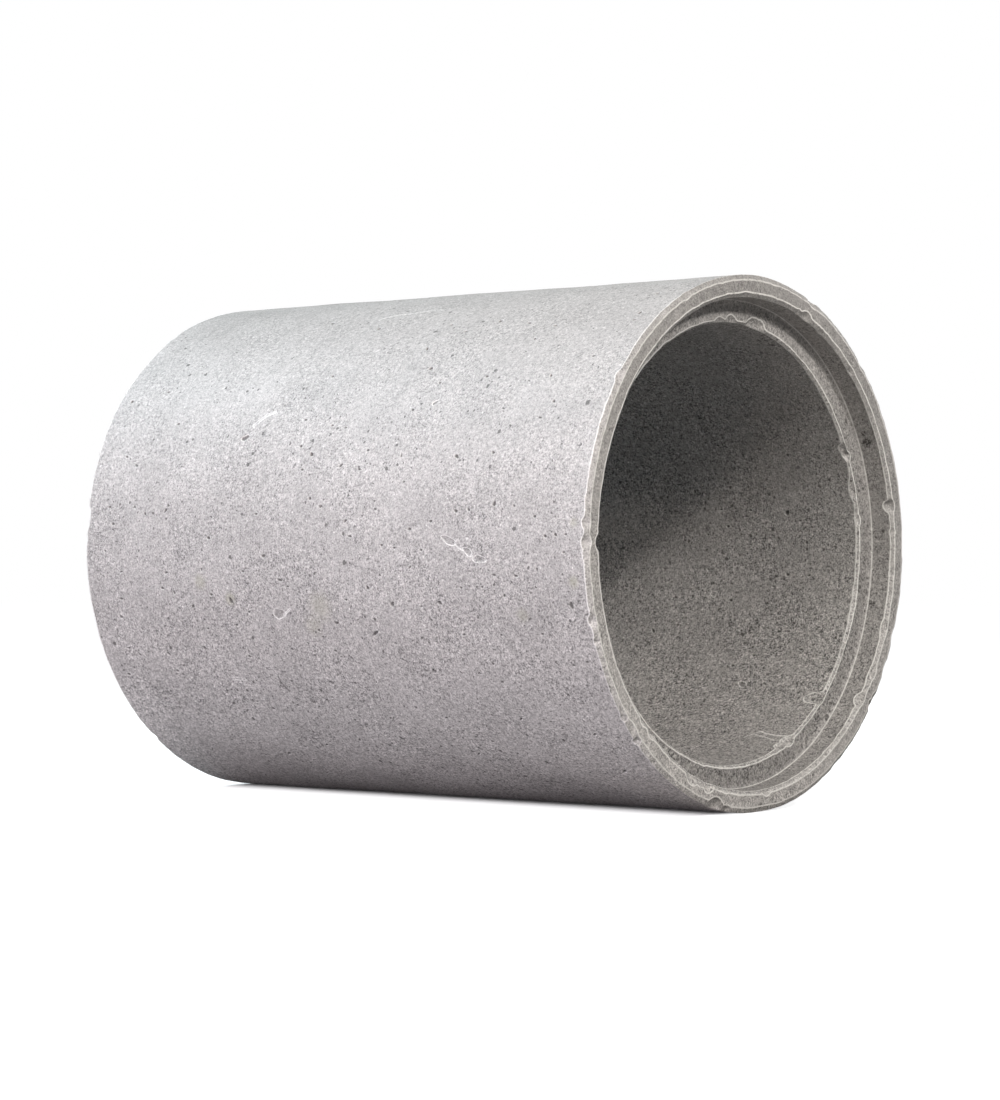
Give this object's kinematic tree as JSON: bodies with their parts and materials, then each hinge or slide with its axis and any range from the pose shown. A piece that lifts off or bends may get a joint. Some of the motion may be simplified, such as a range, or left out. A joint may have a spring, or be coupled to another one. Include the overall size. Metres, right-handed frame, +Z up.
{
  "type": "concrete sewer pipe",
  "caption": "Length of precast concrete sewer pipe lying on its side; a rebated groove at its open end takes the next pipe's tongue, and its arrises are chamfered and chipped.",
  "frame": {"origin": "on the ground under the middle of the pipe: the centre of the box's bottom face", "axes": "+X along the bore, out of the groove (socket) end; -X out of the tongue (spigot) end; +Z up from the ground the pipe lies on"},
  "size_m": [0.972, 0.7256, 0.7256],
  "materials": {
    "concrete": "matte cast concrete, grey, pored, with pale worn arrises"
  },
  "bodies": {
    "root": {"pipe": "concrete"}
  },
  "joints": []
}
